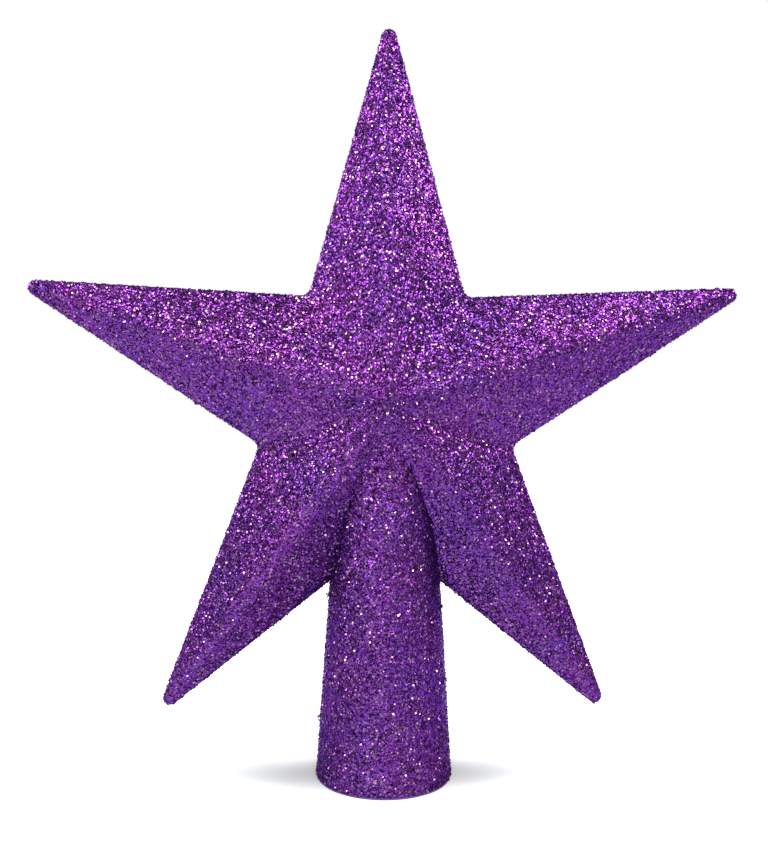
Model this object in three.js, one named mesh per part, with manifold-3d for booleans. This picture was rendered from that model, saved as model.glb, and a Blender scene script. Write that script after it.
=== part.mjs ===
// A five-pointed star topper for a decorated tree: two moulded half shells that meet
// on the plane through the star's rim, each with half of the tapered sleeve that
// slips over the tree's top shoot. Millimetres, +Z up, the front faces -Y, and the
// origin is the centre of the sleeve's foot.
import * as THREE from "three";
import { mergeGeometries, mergeVertices } from "three/addons/utils/BufferGeometryUtils.js";
import Module from "manifold-3d";

// The star
const ARMS = 5;
const CENTRE_HEIGHT = 101; // from the sleeve's foot up to the middle of the star
const TIP_RADIUS = 105; // middle to where an arm's straight edges would meet
const NOTCH_RADIUS = 35.6; // middle to where two arms' straight edges meet
const TIP_ROUND = 1.78; // plan radius of the arms' ends and of the ridges
const NOTCH_ROUND = 3; // plan radius of the notches and of the valleys
const HALF_DEPTH = 15.5; // from the joint plane to the blunt middle peak
const RIM_DEPTH = 1.3; // upright edge of one half, from the joint plane
const RIM_SOFTENING = 0.6; // length of edge that the rim's rounding takes up
const PEAK_FLAT = 1.6; // how far the rounded peak reaches out from the middle

// The sleeve
const FOOT_RADIUS = 18.2; // outside, at the foot
const SLEEVE_TOP_RADIUS = 11.7; // outside, at the height of the star's middle
const FOOT_SOFTENING = 0.5; // rounding of the foot's outer edge

// The moulding
const WALL = 1.2;
const RIM_LAND = 3; // width of the flat face on which the two halves are bonded
const FIT_CLEARANCE = 0.2; // between every male and female feature of the joint

// The tongue on the rear half and its groove in the front half
const TONGUE_INSET = 1.3; // from the star's edge to the tongue
const TONGUE_WIDTH = 0.7;
const TONGUE_HEIGHT = 0.7;

// The lip that laps the joint inside the sleeve
const LIP_THICKNESS = 0.8;
const LIP_HEIGHT = 2; // how far it stands past the joint plane
const LIP_FOOT_GAP = 6; // from the foot up to the lip's lower end
const LIP_TOP_HEIGHT = 44; // from the foot up to the lip's upper end

// One locating pin in each arm, with its socket in the rear half
const PIN_REACH = 52; // from the star's middle
const PIN_RADIUS = 1.5;
const PIN_LENGTH = 4; // past the joint plane
const PIN_CHAMFER = 0.5;
const POST_RADIUS = 2.9; // of the post under the pin, and of the socket's boss

// Smoothness
const CORNER_STEPS = 6; // facets round each tip and notch
const SLEEVE_SIDES = 64;
const PIN_SIDES = 20;
const ROUNDING_STEPS = 3; // facets across a softened edge
const FULL_ROUND_SHARE = 0.3; // below this share of full size, corners shrink with the contour
const OVERSHOOT = 5; // how far a cutting tool runs past what it cuts
const WELD = 1e-4; // points nearer each other than this are one

const wasm = await Module();
wasm.setup();

// A closed geometry as a solid for joining and cutting.
function solid(geometry) {
  const bare = geometry.index ? geometry.toNonIndexed() : geometry.clone();
  bare.deleteAttribute("normal");
  bare.deleteAttribute("uv");
  const merged = mergeVertices(bare, WELD);
  return new wasm.Manifold(
    new wasm.Mesh({
      numProp: 3,
      vertProperties: new Float32Array(merged.attributes.position.array),
      triVerts: new Uint32Array(merged.index.array),
    }),
  );
}

// A solid as a flat-shaded geometry.
function geometryOf(body) {
  const { vertProperties, numProp, triVerts } = body.getMesh();
  const corners = new Float32Array(triVerts.length * 3);
  triVerts.forEach((vertex, i) => {
    corners.set(vertProperties.subarray(vertex * numProp, vertex * numProp + 3), i * 3);
  });
  const geometry = new THREE.BufferGeometry();
  geometry.setAttribute("position", new THREE.BufferAttribute(corners, 3));
  geometry.computeVertexNormals();
  return geometry;
}

// Distance from the star's middle to the line of each straight edge.
function edgeDistance() {
  const turn = Math.PI / ARMS;
  const edge = Math.sqrt(
    TIP_RADIUS ** 2 + NOTCH_RADIUS ** 2 - 2 * TIP_RADIUS * NOTCH_RADIUS * Math.cos(turn),
  );
  return (TIP_RADIUS * NOTCH_RADIUS * Math.sin(turn)) / edge;
}

const EDGE_DISTANCE = edgeDistance();
const FACET_RUN = EDGE_DISTANCE - PEAK_FLAT; // from the rim to where the facets would reach the peak
const FACET_SLOPE = (HALF_DEPTH - RIM_DEPTH) / FACET_RUN;
const WALL_DEPTH = WALL * Math.hypot(1, FACET_SLOPE); // the wall measured square to the joint plane
const SHRINK_START = EDGE_DISTANCE * (1 - FULL_ROUND_SHARE); // inset from which corners shrink
const DOME_START = EDGE_DISTANCE - 2 * PEAK_FLAT; // inset at which the rounded peak begins

// The star's outline moved inwards by an inset: straight edges, with an arc at every tip
// and notch. Points run anticlockwise as seen from the front, round the star's middle.
function contour(inset) {
  const share = (EDGE_DISTANCE - inset) / EDGE_DISTANCE;
  const roundShare = Math.min(1, share / FULL_ROUND_SHARE);
  const corners = Array.from({ length: 2 * ARMS }, (_, i) => {
    const angle = Math.PI / 2 + (i * Math.PI) / ARMS;
    const radius = share * (i % 2 ? NOTCH_RADIUS : TIP_RADIUS);
    return new THREE.Vector2(radius * Math.cos(angle), radius * Math.sin(angle));
  });
  return corners.flatMap((corner, i) => {
    const isNotch = i % 2 === 1;
    const back = corners.at(i - 1).clone().sub(corner).normalize();
    const ahead = corners[(i + 1) % corners.length].clone().sub(corner).normalize();
    const halfAngle = Math.acos(back.dot(ahead)) / 2;
    const round = roundShare * (isNotch ? NOTCH_ROUND : TIP_ROUND);
    const inward = back.clone().add(ahead).normalize();
    const middle = corner.clone().addScaledVector(inward, round / Math.sin(halfAngle));
    const sweep = (isNotch ? -1 : 1) * (Math.PI - 2 * halfAngle);
    const outward = inward.angle() + Math.PI;
    return Array.from({ length: CORNER_STEPS + 1 }, (__, step) => {
      const angle = outward + sweep * (step / CORNER_STEPS - 0.5);
      return new THREE.Vector2(
        middle.x + round * Math.cos(angle),
        middle.y + round * Math.sin(angle),
      );
    });
  });
}

// A body bounded by star contours: levels are [inset, depth] pairs from the joint plane
// outwards, mirrored to both sides, and closed at the middle by a peak.
function starBody(levels, peakDepth) {
  const sides = [...levels.slice(1).reverse().map(([inset, depth]) => [inset, -depth]), ...levels];
  const rings = sides.map(([inset, depth]) =>
    contour(inset).map((p) => [p.x, depth, p.y + CENTRE_HEIGHT]),
  );
  const count = rings[0].length;
  const vertices = [[0, -peakDepth, CENTRE_HEIGHT], ...rings.flat(), [0, peakDepth, CENTRE_HEIGHT]];
  const last = vertices.length - 1;
  const faces = [];
  for (let i = 0; i < count; i++) {
    const next = (i + 1) % count;
    faces.push([0, 1 + i, 1 + next]);
    for (let ring = 0; ring < rings.length - 1; ring++) {
      const here = 1 + ring * count;
      const there = here + count;
      faces.push([here + i, there + i, there + next]);
      faces.push([here + i, there + next, here + next]);
    }
    faces.push([last, last - count + next, last - count + i]);
  }
  const geometry = new THREE.BufferGeometry();
  geometry.setAttribute("position", new THREE.Float32BufferAttribute(vertices.flat(), 3));
  geometry.setIndex(faces.flat());
  return solid(geometry);
}

// Depth of the outer facets at an inset from the star's edge.
function facetDepth(inset) {
  return RIM_DEPTH + FACET_SLOPE * inset;
}

// The outside of the star: upright rim, softened edge, straight facets, rounded peak.
function starOutside() {
  const along = RIM_SOFTENING / Math.hypot(1, FACET_SLOPE);
  const rim = new THREE.QuadraticBezierCurve(
    new THREE.Vector2(0, RIM_DEPTH - RIM_SOFTENING),
    new THREE.Vector2(0, RIM_DEPTH),
    new THREE.Vector2(along, facetDepth(along)),
  );
  const dome = new THREE.QuadraticBezierCurve(
    new THREE.Vector2(DOME_START, facetDepth(DOME_START)),
    new THREE.Vector2(FACET_RUN, HALF_DEPTH),
    new THREE.Vector2(EDGE_DISTANCE, HALF_DEPTH),
  );
  const levels = [
    [0, 0],
    ...rim.getPoints(ROUNDING_STEPS).map((p) => [p.x, p.y]),
    [SHRINK_START, facetDepth(SHRINK_START)],
    ...dome.getPoints(ROUNDING_STEPS).slice(0, -1).map((p) => [p.x, p.y]),
  ];
  return starBody(levels, HALF_DEPTH);
}

// The space inside the star, one land in from the edge and some depth in from the facets.
function starInside(wallDepth) {
  const levels = [RIM_LAND, SHRINK_START, DOME_START].map((inset) => [
    inset,
    facetDepth(inset) - wallDepth,
  ]);
  return starBody([[RIM_LAND, 0], ...levels], HALF_DEPTH - wallDepth);
}

// Turns a profile of [radius, height] pairs about the vertical axis.
function turned(profile, sides) {
  const points = profile.map(([radius, height]) => new THREE.Vector2(radius, height));
  return new THREE.LatheGeometry(points, sides);
}

// Outside radius of the sleeve at a height.
function sleeveRadius(height) {
  return FOOT_RADIUS + ((SLEEVE_TOP_RADIUS - FOOT_RADIUS) * height) / CENTRE_HEIGHT;
}

// A tapered plug with the sleeve's own slope, its surface moved in by an inset.
function sleevePlug(inset, low, high) {
  const profile = [
    [0, low],
    [sleeveRadius(low) - inset, low],
    [sleeveRadius(high) - inset, high],
    [0, high],
  ];
  return solid(turned(profile, SLEEVE_SIDES).rotateX(Math.PI / 2));
}

// The outside of the sleeve, from the softened edge of its foot up to the star's middle.
function sleeveOutside() {
  const edge = new THREE.QuadraticBezierCurve(
    new THREE.Vector2(FOOT_RADIUS - FOOT_SOFTENING, 0),
    new THREE.Vector2(FOOT_RADIUS, 0),
    new THREE.Vector2(sleeveRadius(FOOT_SOFTENING), FOOT_SOFTENING),
  );
  const profile = [
    [0, 0],
    ...edge.getPoints(ROUNDING_STEPS).map((p) => [p.x, p.y]),
    [SLEEVE_TOP_RADIUS, CENTRE_HEIGHT],
    [0, CENTRE_HEIGHT],
  ];
  return solid(turned(profile, SLEEVE_SIDES).rotateX(Math.PI / 2));
}

// A box between two depths, wide and tall enough to take in the whole star.
function slab(front, back) {
  const size = 3 * TIP_RADIUS;
  const box = new THREE.BoxGeometry(size, back - front, size);
  return solid(box.translate(0, (front + back) / 2, CENTRE_HEIGHT));
}

// A band that follows the star's edge, between two insets and two depths.
function edgeBand(outerInset, innerInset, front, back) {
  const prism = (inset) => {
    const shape = new THREE.Shape(contour(inset));
    const extruded = new THREE.ExtrudeGeometry(shape, { depth: back - front, bevelEnabled: false });
    return solid(extruded.rotateX(Math.PI / 2).translate(0, back, CENTRE_HEIGHT));
  };
  return prism(outerInset).subtract(prism(innerInset));
}

// The pins' places [x, z] on the joint plane, one on the centre line of every arm.
function pinPlaces() {
  return Array.from({ length: ARMS }, (_, i) => {
    const angle = Math.PI / 2 + (i * 2 * Math.PI) / ARMS;
    return [PIN_REACH * Math.cos(angle), CENTRE_HEIGHT + PIN_REACH * Math.sin(angle)];
  });
}

// The same round feature at every pin place: profile is [radius, depth] pairs.
function atPins(profile) {
  const copies = pinPlaces().map(([x, z]) => turned(profile, PIN_SIDES).translate(x, 0, z));
  return solid(mergeGeometries(copies));
}

// The profile of a plain round bar between two depths.
function roundBar(radius, from, to) {
  return [
    [0, from],
    [radius, from],
    [radius, to],
    [0, to],
  ];
}

const outside = starOutside().add(sleeveOutside());
const hollow = starInside(WALL_DEPTH).add(sleevePlug(WALL, -OVERSHOOT, CENTRE_HEIGHT));
const postSpace = starInside(WALL_DEPTH / 2); // posts and bosses root half way into the wall
const shell = outside.subtract(hollow);
const reach = HALF_DEPTH + FOOT_RADIUS;
const sleeveKeepOut = sleevePlug(-FIT_CLEARANCE, -OVERSHOOT, CENTRE_HEIGHT);

// The front half: groove, and a post with a pin in every arm.
function frontShell() {
  const groove = edgeBand(
    TONGUE_INSET - FIT_CLEARANCE,
    TONGUE_INSET + TONGUE_WIDTH + FIT_CLEARANCE,
    -TONGUE_HEIGHT - FIT_CLEARANCE,
    OVERSHOOT,
  ).subtract(sleeveKeepOut);
  const posts = atPins(roundBar(POST_RADIUS, -reach, 0)).intersect(postSpace);
  const pins = atPins([
    [0, -RIM_DEPTH],
    [PIN_RADIUS, -RIM_DEPTH],
    [PIN_RADIUS, PIN_LENGTH - PIN_CHAMFER],
    [PIN_RADIUS - PIN_CHAMFER, PIN_LENGTH],
    [0, PIN_LENGTH],
  ]);
  return shell.intersect(slab(-reach, 0)).subtract(groove).add(posts).add(pins);
}

// The rear half: tongue, sockets for the pins, and the lip inside the sleeve.
function rearShell() {
  const tongueEnd = RIM_DEPTH / 2; // its root inside the rim
  const tongue = edgeBand(TONGUE_INSET, TONGUE_INSET + TONGUE_WIDTH, -TONGUE_HEIGHT, tongueEnd)
    .subtract(sleevePlug(-2 * FIT_CLEARANCE, -OVERSHOOT, CENTRE_HEIGHT));
  const bosses = atPins(roundBar(POST_RADIUS, 0, reach)).intersect(postSpace);
  const sockets = atPins(
    roundBar(PIN_RADIUS + FIT_CLEARANCE, -OVERSHOOT, PIN_LENGTH + FIT_CLEARANCE),
  );
  return shell
    .intersect(slab(0, reach))
    .add(tongue)
    .add(bosses)
    .subtract(sockets)
    .add(sleeveLip());
}

// Two strips, one down each side of the bore: rooted on the rear half and lapping the
// front half's wall with the joint's clearance.
function sleeveLip() {
  const low = LIP_FOOT_GAP;
  const inner = sleevePlug(WALL + FIT_CLEARANCE + LIP_THICKNESS, low - OVERSHOOT, CENTRE_HEIGHT);
  const lapping = sleevePlug(WALL + FIT_CLEARANCE, low, LIP_TOP_HEIGHT)
    .subtract(inner)
    .intersect(slab(-LIP_HEIGHT, LIP_HEIGHT));
  const rooted = sleevePlug(WALL / 2, low, LIP_TOP_HEIGHT)
    .subtract(inner)
    .intersect(slab(0, LIP_HEIGHT));
  return lapping.add(rooted);
}

const plastic = { color: 0x4a1270, roughness: 0.45, metalness: 0.35 };

function part(name, body) {
  const mesh = new THREE.Mesh(geometryOf(body), new THREE.MeshStandardMaterial(plastic));
  mesh.name = name;
  return mesh;
}

const topper = new THREE.Group();
topper.add(part("front_shell", frontShell()), part("rear_shell", rearShell()));

export default topper;
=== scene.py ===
import math

import bpy
import numpy as np
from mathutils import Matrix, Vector
from mathutils.bvhtree import BVHTree


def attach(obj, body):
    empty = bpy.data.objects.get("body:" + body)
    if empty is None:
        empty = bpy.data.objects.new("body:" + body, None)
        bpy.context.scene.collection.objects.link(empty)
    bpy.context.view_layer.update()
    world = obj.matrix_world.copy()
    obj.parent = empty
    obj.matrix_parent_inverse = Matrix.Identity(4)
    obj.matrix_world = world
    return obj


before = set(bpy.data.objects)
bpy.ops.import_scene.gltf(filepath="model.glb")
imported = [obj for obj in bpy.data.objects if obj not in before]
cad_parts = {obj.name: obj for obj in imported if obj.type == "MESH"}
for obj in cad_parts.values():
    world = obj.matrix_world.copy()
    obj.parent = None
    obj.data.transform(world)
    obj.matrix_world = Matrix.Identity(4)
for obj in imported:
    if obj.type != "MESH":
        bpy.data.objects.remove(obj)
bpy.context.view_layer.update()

# A glittered star tree topper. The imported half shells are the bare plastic; a thin
# glitter coat covers their outside, and loose-set flakes stand a little proud of it.
# Lengths of the object are in millimetres and are turned into metres when a mesh is
# made. Lamps, shadow and camera are placed in metres.
MM = 0.001
SEED = 29

# The star, as moulded
ARMS = 5
CENTRE_HEIGHT = 101.0  # from the sleeve's foot up to the middle of the star
TIP_RADIUS = 105.0  # middle to where an arm's straight edges would meet
NOTCH_RADIUS = 35.6  # middle to where the edges of two arms would meet
TIP_ROUND = 1.78
NOTCH_ROUND = 3.0
HALF_DEPTH = 15.5  # from the joint plane to the blunt middle peak
RIM_DEPTH = 1.3  # upright edge of one half
RIM_SOFTENING = 0.6
PEAK_FLAT = 1.6  # the facets would reach full depth here; they round off from twice as far
FULL_ROUND_SHARE = 0.3  # below this share of full size, corners shrink with the contour

# The sleeve, as moulded
FOOT_RADIUS = 18.2
SLEEVE_TOP_RADIUS = 11.7  # at the height of the star's middle

# The glitter coat
COAT = 0.12  # glue and flakes over the plastic
COAT_ROUGHNESS = 0.07  # how far its surface wanders either way
EDGE_STEP = 1.3  # spacing of the coat's points along the star's edges
RING_STEP = 1.2  # and from the edge inwards
ARC_STEPS = 10
RIM_STEPS = 3
PEAK_STEPS = 4
SLEEVE_SIDES = 150
SLEEVE_STEP = 0.9
BARE_FOOT = 0.6  # the foot's edge, which stays uncoated
HIDDEN_DEPTH = 0.6  # coat this far inside the other body is left out
FAR_OUTSIDE = -1000.0  # depth given to points beside the star

# The flakes
FLAKE_AREA = 0.71  # mm2 of surface for each flake
FLAKE_RADIUS = (0.185, 0.33)
FLAKE_LIFT = (0.02, 0.22)  # middle of a flake above the coat
FLAKE_ROOT = 0.4  # from its face down to its buried point
FLAKE_TILT = math.radians(17)  # spread of the tilt
FLAKE_MAX_TILT = math.radians(42)
FLAKE_SIDES = 6
FLAKE_HIDDEN_DEPTH = 0.1  # flakes this far inside the other body are left out
FLAKE_OVERHANG = 0.2  # how far they may hang over the foot's bare edge

# Heaps of flakes stuck together
CLUMP_COUNT = 18  # flakes in each
CLUMP_RADIUS = (0.3, 0.55)
STRAY_CLUMPS = 40  # at random on each side of the star, and half as many on the sleeve
SEEN_CLUMPS = [(-17.6, -1.0, 16.3), (-17.3, -1.2, 15.6), (-15.2, -3.0, 50.0)]

# Colours: of a bare shell, of each kind of flake with its share, and of the coat's
# cells with the place on the ramp where each begins
PLASTIC_COLOR = (0.06, 0.008, 0.13)
FLAKE_KINDS = {
    "flake_deep": ((0.09, 0.028, 0.13), 0.26),
    "flake_violet": ((0.13, 0.056, 0.175), 0.38),
    "flake_rose": ((0.17, 0.070, 0.185), 0.24),
    "flake_lavender": ((0.23, 0.13, 0.26), 0.12),
}
CELL_COLORS = [
    (0.0, (0.02, 0.002, 0.045)),
    (0.25, (0.06, 0.011, 0.125)),
    (0.45, (0.10, 0.024, 0.195)),
    (0.7, (0.13, 0.032, 0.21)),
    (0.85, (0.10, 0.028, 0.24)),
]
EDGE_TINT = (0.35, 0.12, 0.55)  # what the metal's colour turns to at a glancing angle
WHITE = (1, 1, 1)
VARNISH_ROUGHNESS = 0.1

# The coat's cells
CELLS_PER_METRE = 2900
CELL_SLANT = 0.8  # how far the cells' normals are thrown about
PATCHES_PER_METRE = 60  # larger patches with a slightly different hue
PATCH_NOISE = (0.3, 0.7)  # the noise values that get the first and the last hue
PATCH_HUE = (0.485, 0.515)

# The floor, with a soft shadow on both sides of the foot: a painted shadow, where its glow is
# turned down, over the lamps' cast one
HALF_FLOOR = 3000.0  # millimetres
FLOOR_COLOR = (0.22, 0.232, 0.271)
FLOOR_GLOW_COLOR = (0.9, 0.94, 1)
FLOOR_GLOW = (0.08, 1.24)  # in the shadow and in the open
SHADOW_REACH = (0.012, 0.064)  # where the glow starts to rise and where it is full
SHADOW_SHIFT = (0.002, -0.0026, 0)
SHADOW_SCALE = (0.78, 2.6, 1)  # makes the shadow wide and shallow

# The room's light, which the camera doesn't see directly
ROOM_GLOW = (0.05, 0.8)  # all round, and on the backdrop behind the object
BACKDROP_REACH = (0.0, 0.5)  # how far towards +Y the backdrop begins and is at its full glow

# The lamps: place, what each one faces, side length and power
LAMP_COLOR = (1.0, 0.95, 0.81)
STAR_MIDDLE = (0, 0, 0.1)
FOOT_MIDDLE = (0, 0, 0.03)
LAMPS = {
    "softbox_left": ((-0.62, -0.13, 0.67), STAR_MIDDLE, 0.4, 11.5),
    "softbox_right": ((0.62, -0.13, 0.67), STAR_MIDDLE, 0.4, 11.5),
    "softbox_front": ((0.0, -0.55, 0.8), STAR_MIDDLE, 0.38, 9.5),
    "softbox_fill": ((0.0, -0.9, 0.1), FOOT_MIDDLE, 0.4, 3.0),
    "softbox_rear_left": ((-0.55, 0.5, 0.32), STAR_MIDDLE, 0.36, 5.0),
    "softbox_rear_right": ((0.55, 0.5, 0.32), STAR_MIDDLE, 0.36, 5.0),
}

# The camera
CAMERA_PLACE = (-0.01197, -0.27016, 0.10313)
CAMERA_TURN = (88.368, -0.4296, -2.4001)  # degrees about X, Y and Z
CAMERA_NEAR = 0.01
SENSOR = 36
FOCAL_PIXELS = 1000
LONG_SIDE_PIXELS = 850


def edge_distance():
    """From the star's middle to the line of each straight edge."""
    turn = math.pi / ARMS
    edge = math.sqrt(
        TIP_RADIUS**2 + NOTCH_RADIUS**2 - 2 * TIP_RADIUS * NOTCH_RADIUS * math.cos(turn)
    )
    return TIP_RADIUS * NOTCH_RADIUS * math.sin(turn) / edge


EDGE_DISTANCE = edge_distance()
FACET_RUN = EDGE_DISTANCE - PEAK_FLAT
FACET_SLOPE = (HALF_DEPTH - RIM_DEPTH) / FACET_RUN


def facet_depth(inset):
    """Depth of the star's facets at an inset from its edge."""
    return RIM_DEPTH + FACET_SLOPE * inset


def bezier(a, b, c, steps):
    """Points on a quadratic curve from a to c that leaves towards b."""
    t = np.linspace(0, 1, steps + 1)[:, None]
    a, b, c = (np.array(p, float) for p in (a, b, c))
    return (1 - t) ** 2 * a + 2 * t * (1 - t) * b + t**2 * c


def contour(inset):
    """The star's outline moved inwards, with rounded tips and notches and its straight
    edges divided evenly: an array of (x, z) round the star's middle."""
    share = (EDGE_DISTANCE - inset) / EDGE_DISTANCE
    round_share = min(1.0, share / FULL_ROUND_SHARE)
    turn = math.pi / ARMS
    corners = np.array(
        [
            share
            * (NOTCH_RADIUS if i % 2 else TIP_RADIUS)
            * np.array([math.cos(math.pi / 2 + i * turn), math.sin(math.pi / 2 + i * turn)])
            for i in range(2 * ARMS)
        ]
    )
    arcs = []
    for i, corner in enumerate(corners):
        back = corners[i - 1] - corner
        ahead = corners[(i + 1) % len(corners)] - corner
        back, ahead = back / np.linalg.norm(back), ahead / np.linalg.norm(ahead)
        half = math.acos(float(back @ ahead)) / 2
        radius = round_share * (NOTCH_ROUND if i % 2 else TIP_ROUND)
        inward = (back + ahead) / np.linalg.norm(back + ahead)
        middle = corner + inward * radius / math.sin(half)
        sweep = (-1 if i % 2 else 1) * (math.pi - 2 * half)
        outward = math.atan2(inward[1], inward[0]) + math.pi
        angles = outward + sweep * (np.arange(ARC_STEPS + 1) / ARC_STEPS - 0.5)
        arcs.append(middle + radius * np.stack([np.cos(angles), np.sin(angles)], 1))
    edge = np.linalg.norm(
        np.array([0, TIP_RADIUS])
        - NOTCH_RADIUS * np.array([math.sin(turn), math.cos(turn)])
    )
    count = int(edge / EDGE_STEP)
    along = np.arange(1, count)[:, None] / count
    rows = []
    for i, arc in enumerate(arcs):
        start, end = arc[-1], arcs[(i + 1) % len(arcs)][0]
        rows += [arc, start + (end - start) * along]
    return np.concatenate(rows)


def star_levels():
    """(inset, depth) from the joint plane over the rim and up the facets to the peak."""
    along = RIM_SOFTENING / math.hypot(1, FACET_SLOPE)
    rim = bezier(
        (0, RIM_DEPTH - RIM_SOFTENING), (0, RIM_DEPTH), (along, facet_depth(along)), RIM_STEPS
    )
    dome_start = EDGE_DISTANCE - 2 * PEAK_FLAT
    count = int((dome_start - along) / RING_STEP)
    insets = np.linspace(along, dome_start, count + 1)[1:-1]
    facets = np.stack([insets, facet_depth(insets)], 1)
    dome = bezier(
        (dome_start, facet_depth(dome_start)),
        (FACET_RUN, HALF_DEPTH),
        (EDGE_DISTANCE, HALF_DEPTH),
        PEAK_STEPS,
    )[:-1]
    return np.concatenate([[(0, 0)], rim, facets, dome])


def mesh_object(name, points, faces, materials, slots=None, smooth=True):
    """A mesh from points in millimetres. faces is a list or array of vertex numbers."""
    me = bpy.data.meshes.new(name)
    me.from_pydata((np.asarray(points) * MM).tolist(), [], [list(f) for f in faces])
    for material in materials:
        me.materials.append(material)
    if slots is not None:
        me.polygons.foreach_set("material_index", np.asarray(slots, np.int32))
    me.polygons.foreach_set("use_smooth", np.full(len(me.polygons), smooth))
    me.update()
    ob = bpy.data.objects.new(name, me)
    bpy.context.collection.objects.link(ob)
    return ob


def ring_quads(ring_count, sides):
    """Faces between neighbouring rings of points, which follow each other in one list."""
    here = np.arange(sides)
    ahead = (here + 1) % sides
    rings = []
    for low in range(0, (ring_count - 1) * sides, sides):
        high = low + sides
        rings.append(np.stack([low + here, low + ahead, high + ahead, high + here], 1))
    return np.concatenate(rings)


def point_normals(points, faces):
    """Each point's normal, from the faces around it."""
    normals = np.zeros_like(points)
    for face in faces:
        face = np.asarray(face)
        a, b, c = points[face[:, 0]], points[face[:, 1]], points[face[:, 2]]
        across = np.cross(b - a, c - a)
        for k in range(face.shape[1]):
            np.add.at(normals, face[:, k], across)
    return normals / np.linalg.norm(normals, axis=1)[:, None]


def roughened(rng, points, normals):
    """Moves points out to the coat's uneven surface."""
    lift = COAT + rng.uniform(-COAT_ROUGHNESS, COAT_ROUGHNESS, len(points))
    return points + normals * lift[:, None]


def star_skin(rng):
    """Points and faces of the front half's coat, facing out towards -Y."""
    levels = star_levels()
    rings = [
        np.insert(contour(inset) + [0, CENTRE_HEIGHT], 1, -depth, axis=1)
        for inset, depth in levels
    ]
    peak = np.array([[0, -HALF_DEPTH, CENTRE_HEIGHT]])
    points = np.concatenate([*rings, peak])
    count = len(rings[0])
    quads = ring_quads(len(levels), count)
    here = np.arange(count)
    last = (len(levels) - 1) * count
    fan = np.stack([last + here, last + (here + 1) % count, np.full(count, len(points) - 1)], 1)
    normals = point_normals(points, [quads, fan])
    normals[:count, 1] = 0  # the first ring stays on the joint plane
    return roughened(rng, points, normals), quads, fan


def sleeve_radius(height):
    return FOOT_RADIUS + (SLEEVE_TOP_RADIUS - FOOT_RADIUS) * height / CENTRE_HEIGHT


def sleeve_skin(rng):
    """Points and faces of the sleeve's coat, from above the foot's bare edge to the star's
    middle."""
    count = int((CENTRE_HEIGHT - BARE_FOOT) / SLEEVE_STEP)
    heights = np.linspace(BARE_FOOT, CENTRE_HEIGHT, count + 1)
    turn = 2 * math.pi * np.arange(SLEEVE_SIDES) / SLEEVE_SIDES
    circle = np.stack([np.cos(turn), np.sin(turn), np.zeros(SLEEVE_SIDES)], 1)
    points = np.concatenate([sleeve_radius(z) * circle + [0, 0, z] for z in heights])
    quads = ring_quads(len(heights), SLEEVE_SIDES)
    return roughened(rng, points, point_normals(points, [quads])), quads


def inside_sleeve(points):
    """How far points lie inside the sleeve's outer surface, negative outside."""
    depths = sleeve_radius(points[:, 2]) + COAT - np.hypot(points[:, 0], points[:, 1])
    return np.minimum(depths, CENTRE_HEIGHT - points[:, 2])


def inside_star(points, tree):
    """How far points lie inside the star's front or rear face along Y, negative outside."""
    depths = np.full(len(points), FAR_OUTSIDE)
    for i, (x, y, z) in enumerate(points):
        hit = tree.ray_cast(Vector((x, -3 * HALF_DEPTH, z)), Vector((0, 1, 0)))[0]
        if hit is not None:
            depths[i] = -hit.y - abs(y)
    return depths


def without(faces, hidden):
    """The faces that have a point which isn't hidden."""
    return faces[~hidden[faces].all(1)]


def compact(points, *face_sets):
    """Drops points that no face uses."""
    used = np.unique(np.concatenate([f.ravel() for f in face_sets]))
    index = np.full(len(points), -1)
    index[used] = np.arange(len(used))
    return [points[used], *[index[f] for f in face_sets]]


def halves(quads):
    """Quads cut into triangles."""
    return np.concatenate([quads[:, [0, 1, 2]], quads[:, [0, 2, 3]]])


def scatter(rng, points, triangles):
    """Random places on triangles, evenly by area, with the faces' normals."""
    a, b, c = (points[triangles[:, k]] for k in range(3))
    across = np.cross(b - a, c - a)
    area = np.linalg.norm(across, axis=1) / 2
    count = int(area.sum() / FLAKE_AREA)
    chosen = rng.choice(len(triangles), count, p=area / area.sum())
    u, v = rng.random((2, count))
    over = u + v > 1
    u[over], v[over] = 1 - u[over], 1 - v[over]
    places = a[chosen] + u[:, None] * (b - a)[chosen] + v[:, None] * (c - a)[chosen]
    return places, across[chosen] / (2 * area[chosen])[:, None]


def with_clumps(rng, centres, places, normals):
    """Adds a small heap of flakes at each centre to the flakes' places and normals."""
    for centre in centres:
        out = rng.normal(size=(CLUMP_COUNT, 3))
        out /= np.linalg.norm(out, axis=1)[:, None]
        spread = rng.uniform(*CLUMP_RADIUS)
        places = np.concatenate([places, np.asarray(centre) + out * spread])
        normals = np.concatenate([normals, out])
    return places, normals


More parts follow.
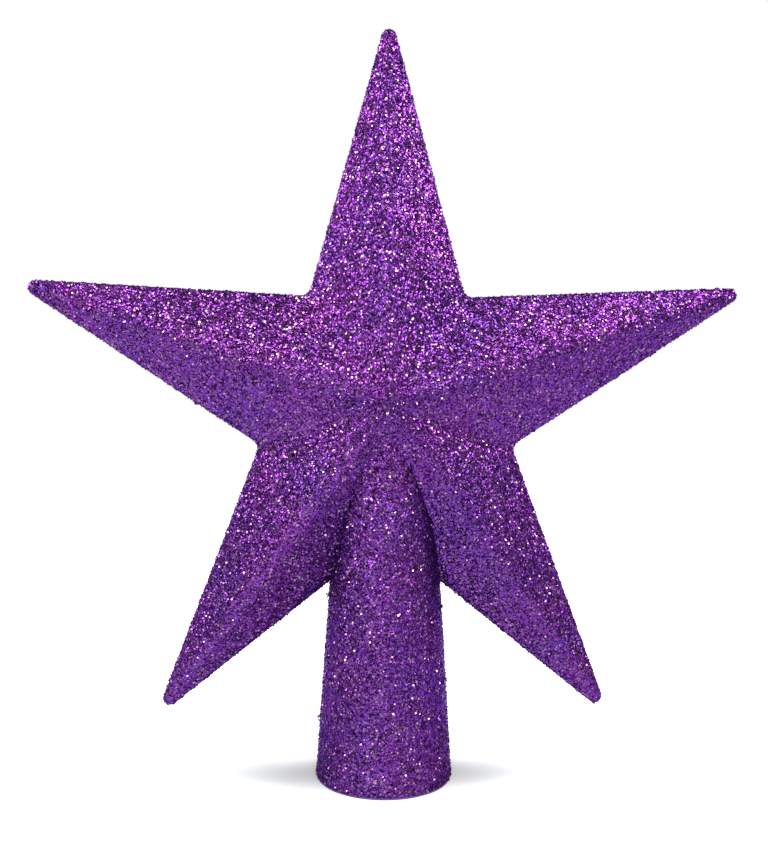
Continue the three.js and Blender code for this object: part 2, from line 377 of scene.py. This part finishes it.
def flakes(name, rng, places, normals, materials):
    """Hexagonal flakes, each with a flat face turned out and a point buried in the coat."""
    count = len(places)
    tilt = np.minimum(np.hypot(*rng.normal(0, FLAKE_TILT, (2, count))), FLAKE_MAX_TILT)
    side = np.cross(normals, rng.normal(size=(count, 3)))
    side /= np.linalg.norm(side, axis=1)[:, None]
    facing = normals * np.cos(tilt)[:, None] + side * np.sin(tilt)[:, None]
    across = np.cross(facing, rng.normal(size=(count, 3)))
    across /= np.linalg.norm(across, axis=1)[:, None]
    up = np.cross(facing, across)
    radius = rng.uniform(*FLAKE_RADIUS, count)[:, None, None]
    middle = places + normals * rng.uniform(*FLAKE_LIFT, count)[:, None]
    turn = 2 * math.pi * np.arange(FLAKE_SIDES)[None, :, None] / FLAKE_SIDES
    circle = np.cos(turn) * across[:, None] + np.sin(turn) * up[:, None]
    rim = middle[:, None] + radius * circle
    root = middle - facing * FLAKE_ROOT
    clear = rim[:, :, 2].min(1) > BARE_FOOT - FLAKE_OVERHANG
    rim, root = rim[clear], root[clear]
    count = len(rim)
    points = np.concatenate([rim, root[:, None]], 1).reshape(-1, 3)
    first = (FLAKE_SIDES + 1) * np.arange(count)[:, None]
    corner = np.arange(FLAKE_SIDES)
    tops = first + corner
    roots = np.broadcast_to(first + FLAKE_SIDES, (count, FLAKE_SIDES))
    sides = np.stack([roots, first + (corner + 1) % FLAKE_SIDES, tops], 2).reshape(-1, 3)
    kinds = rng.choice(len(materials), count, p=[share for _, share in FLAKE_KINDS.values()])
    slots = np.concatenate([kinds, np.repeat(kinds, FLAKE_SIDES)])
    return mesh_object(name, points, [*tops, *sides], materials, slots, smooth=False)


def add_node(tree, kind, values=None, **settings):
    """A shader node with its settings, and its input values by name or number."""
    node = tree.nodes.new(kind)
    for setting, value in settings.items():
        setattr(node, setting, value)
    for socket, value in (values or {}).items():
        node.inputs[socket].default_value = value
    return node


def add_range(tree, source, target, **settings):
    """A node that maps one range of values onto another."""
    values = {
        "From Min": source[0],
        "From Max": source[1],
        "To Min": target[0],
        "To Max": target[1],
    }
    return add_node(tree, "ShaderNodeMapRange", values, **settings)


def plain(name, color, roughness, metallic=0.0, varnish=0.0):
    """A material of one colour; varnish is the weight of a clear layer over it."""
    material = bpy.data.materials.new(name)
    material.use_nodes = True
    shader = material.node_tree.nodes["Principled BSDF"]
    shader.inputs["Base Color"].default_value = (*color, 1)
    shader.inputs["Roughness"].default_value = roughness
    shader.inputs["Metallic"].default_value = metallic
    if metallic:
        shader.inputs["Specular Tint"].default_value = (*EDGE_TINT, 1)
    shader.inputs["Coat Weight"].default_value = varnish
    shader.inputs["Coat Roughness"].default_value = VARNISH_ROUGHNESS
    return material


def flake_material(name):
    return plain(name, FLAKE_KINDS[name][0], roughness=0.18, metallic=0.92, varnish=0.2)


def color_cells(tree, place, cells, shader):
    """Gives each cell one of the ramp's colours, and larger patches a drift of hue."""
    parts = add_node(tree, "ShaderNodeSeparateColor")
    tree.links.new(cells.outputs["Color"], parts.inputs["Color"])
    ramp = add_node(tree, "ShaderNodeValToRGB")
    ramp.color_ramp.interpolation = "CONSTANT"
    elements = ramp.color_ramp.elements
    while len(elements) < len(CELL_COLORS):
        elements.new(1.0)
    for element, (position, color) in zip(elements, CELL_COLORS):
        element.position = position
        element.color = (*color, 1)
    tree.links.new(parts.outputs["Red"], ramp.inputs["Fac"])
    patches = add_node(
        tree, "ShaderNodeTexNoise", {"Scale": PATCHES_PER_METRE, "Detail": 1}
    )
    tree.links.new(place.outputs["Object"], patches.inputs["Vector"])
    drift = add_range(tree, PATCH_NOISE, PATCH_HUE)
    tree.links.new(patches.outputs["Fac"], drift.inputs["Value"])
    hue = add_node(tree, "ShaderNodeHueSaturation")
    tree.links.new(drift.outputs["Result"], hue.inputs["Hue"])
    tree.links.new(ramp.outputs["Color"], hue.inputs["Color"])
    tree.links.new(hue.outputs["Color"], shader.inputs["Base Color"])


def slant_cells(tree, cells, shader):
    """Turns each cell's normal by its random colour, which is moved to lie round zero."""
    normal = add_node(tree, "ShaderNodeNewGeometry")
    centred = add_node(
        tree, "ShaderNodeVectorMath", {1: (0.5, 0.5, 0.5)}, operation="SUBTRACT"
    )
    tree.links.new(cells.outputs["Color"], centred.inputs[0])
    scaled = add_node(tree, "ShaderNodeVectorMath", {"Scale": CELL_SLANT}, operation="SCALE")
    tree.links.new(centred.outputs["Vector"], scaled.inputs[0])
    added = add_node(tree, "ShaderNodeVectorMath", operation="ADD")
    tree.links.new(normal.outputs["Normal"], added.inputs[0])
    tree.links.new(scaled.outputs["Vector"], added.inputs[1])
    unit = add_node(tree, "ShaderNodeVectorMath", operation="NORMALIZE")
    tree.links.new(added.outputs["Vector"], unit.inputs[0])
    tree.links.new(unit.outputs["Vector"], shader.inputs["Normal"])


def coat_material():
    """Small flat cells, each with its own colour and slant."""
    material = bpy.data.materials.new("glitter_coat")
    material.use_nodes = True
    tree = material.node_tree
    shader = tree.nodes["Principled BSDF"]
    shader.inputs["Metallic"].default_value = 0.9
    shader.inputs["Roughness"].default_value = 0.25
    shader.inputs["Specular Tint"].default_value = (*EDGE_TINT, 1)
    place = add_node(tree, "ShaderNodeTexCoord")
    cells = add_node(tree, "ShaderNodeTexVoronoi", {"Scale": CELLS_PER_METRE}, feature="F1")
    tree.links.new(place.outputs["Object"], cells.inputs["Vector"])
    color_cells(tree, place, cells, shader)
    slant_cells(tree, cells, shader)
    return material


def floor_material():
    """Pale, with a glow that fades beside the foot: a painted shadow there, which deepens the
    shadow the lamps cast.
    """
    material = plain("floor", FLOOR_COLOR, roughness=0.8)
    tree = material.node_tree
    shader = tree.nodes["Principled BSDF"]
    shader.inputs["Emission Color"].default_value = (*FLOOR_GLOW_COLOR, 1)
    place = add_node(tree, "ShaderNodeTexCoord")
    shadow = add_node(
        tree, "ShaderNodeMapping", {"Location": SHADOW_SHIFT, "Scale": SHADOW_SCALE}
    )
    tree.links.new(place.outputs["Object"], shadow.inputs["Vector"])
    reach = add_node(tree, "ShaderNodeVectorMath", operation="LENGTH")
    tree.links.new(shadow.outputs["Vector"], reach.inputs[0])
    # painted shadow: the floor's glow is lower near the foot
    glow = add_range(tree, SHADOW_REACH, FLOOR_GLOW, interpolation_type="SMOOTHSTEP")
    tree.links.new(reach.outputs["Value"], glow.inputs["Value"])
    tree.links.new(glow.outputs["Result"], shader.inputs["Emission Strength"])
    return material


def add_floor():
    corners = [(-1, -1, 0), (1, -1, 0), (1, 1, 0), (-1, 1, 0)]
    points = HALF_FLOOR * np.array(corners)
    mesh_object("floor", points, [(0, 1, 2, 3)], [floor_material()])


def add_world():
    """White to the camera; else dark, with a pale backdrop behind the object."""
    world = bpy.data.worlds.new("studio")
    bpy.context.scene.world = world
    world.use_nodes = True
    tree = world.node_tree
    tree.nodes.clear()
    seen = add_node(tree, "ShaderNodeBackground", {"Color": (*WHITE, 1), "Strength": 1})
    room = add_node(tree, "ShaderNodeBackground", {"Color": (*WHITE, 1)})
    direction = add_node(tree, "ShaderNodeTexCoord")
    axes = add_node(tree, "ShaderNodeSeparateXYZ")
    tree.links.new(direction.outputs["Generated"], axes.inputs["Vector"])
    backdrop = add_range(tree, BACKDROP_REACH, ROOM_GLOW)
    tree.links.new(axes.outputs["Y"], backdrop.inputs["Value"])
    tree.links.new(backdrop.outputs["Result"], room.inputs["Strength"])
    ray = add_node(tree, "ShaderNodeLightPath")
    mix = add_node(tree, "ShaderNodeMixShader")
    tree.links.new(ray.outputs["Is Camera Ray"], mix.inputs["Fac"])
    tree.links.new(room.outputs["Background"], mix.inputs[1])
    tree.links.new(seen.outputs["Background"], mix.inputs[2])
    output = add_node(tree, "ShaderNodeOutputWorld")
    tree.links.new(mix.outputs["Shader"], output.inputs["Surface"])


def add_softbox(name, place, target, size, power):
    light = bpy.data.lights.new(name, "AREA")
    light.shape = "SQUARE"
    light.size = size
    light.energy = power
    light.color = LAMP_COLOR
    ob = bpy.data.objects.new(name, light)
    ob.location = place
    away = Vector(place) - Vector(target)
    ob.rotation_mode = "QUATERNION"
    ob.rotation_quaternion = away.to_track_quat("Z", "Y")
    ob.visible_camera = False
    bpy.context.collection.objects.link(ob)


def add_camera():
    data = bpy.data.cameras.new("camera")
    data.sensor_width = SENSOR
    data.lens = SENSOR * FOCAL_PIXELS / LONG_SIDE_PIXELS
    data.clip_start = CAMERA_NEAR
    camera = bpy.data.objects.new("camera", data)
    camera.location = CAMERA_PLACE
    camera.rotation_euler = [math.radians(angle) for angle in CAMERA_TURN]
    bpy.context.collection.objects.link(camera)
    bpy.context.scene.camera = camera


# The bare shells
plastic = plain("purple_plastic", PLASTIC_COLOR, roughness=0.32, varnish=0.3)
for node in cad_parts.values():
    node.data.materials.clear()
    node.data.materials.append(plastic)

# The coat's surfaces, each without what lies inside the other
rng = np.random.default_rng(SEED)
star_points, star_quads, star_fan = star_skin(rng)
sleeve_points, sleeve_quads = sleeve_skin(rng)
star_tree = BVHTree.FromPolygons(
    star_points.tolist(), star_quads.tolist() + star_fan.tolist()
)
in_sleeve = inside_sleeve(star_points) > HIDDEN_DEPTH
in_star = inside_star(sleeve_points, star_tree) > HIDDEN_DEPTH
star_points, star_quads, star_fan = compact(
    star_points, without(star_quads, in_sleeve), without(star_fan, in_sleeve)
)
sleeve_points, sleeve_quads = compact(sleeve_points, without(sleeve_quads, in_star))

coat = coat_material()
flake_materials = [flake_material(name) for name in FLAKE_KINDS]
mirror = np.array([1, -1, 1])
pieces = []

# The star's two sides, the rear one mirrored with its faces turned round
for side, facing in (("front", 1), ("rear", -1)):
    points = star_points if facing == 1 else star_points * mirror
    order = slice(None, None, facing)
    faces = [*star_quads[:, order], *star_fan[:, order]]
    pieces.append(mesh_object(f"star_coat_{side}", points, faces, [coat]))
    triangles = np.concatenate([halves(star_quads), star_fan])[:, order]
    places, normals = scatter(rng, points, triangles)
    shown = inside_sleeve(places) < FLAKE_HIDDEN_DEPTH
    places, normals = places[shown], normals[shown]
    centres = rng.choice(places, STRAY_CLUMPS)
    places, normals = with_clumps(rng, centres, places, normals)
    pieces.append(flakes(f"star_flakes_{side}", rng, places, normals, flake_materials))

# The sleeve
pieces.append(mesh_object("sleeve_coat", sleeve_points, sleeve_quads, [coat]))
places, normals = scatter(rng, sleeve_points, halves(sleeve_quads))
shown = inside_star(places, star_tree) < FLAKE_HIDDEN_DEPTH
places, normals = places[shown], normals[shown]
centres = [*rng.choice(places, STRAY_CLUMPS // 2), *SEEN_CLUMPS]
places, normals = with_clumps(rng, centres, places, normals)
pieces.append(flakes("sleeve_flakes", rng, places, normals, flake_materials))

for piece in pieces:
    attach(piece, "root")

# The studio
add_floor()
add_world()
for name, (place, target, size, power) in LAMPS.items():
    add_softbox(name, place, target, size, power)
add_camera()
bpy.context.scene.view_settings.view_transform = "Standard"
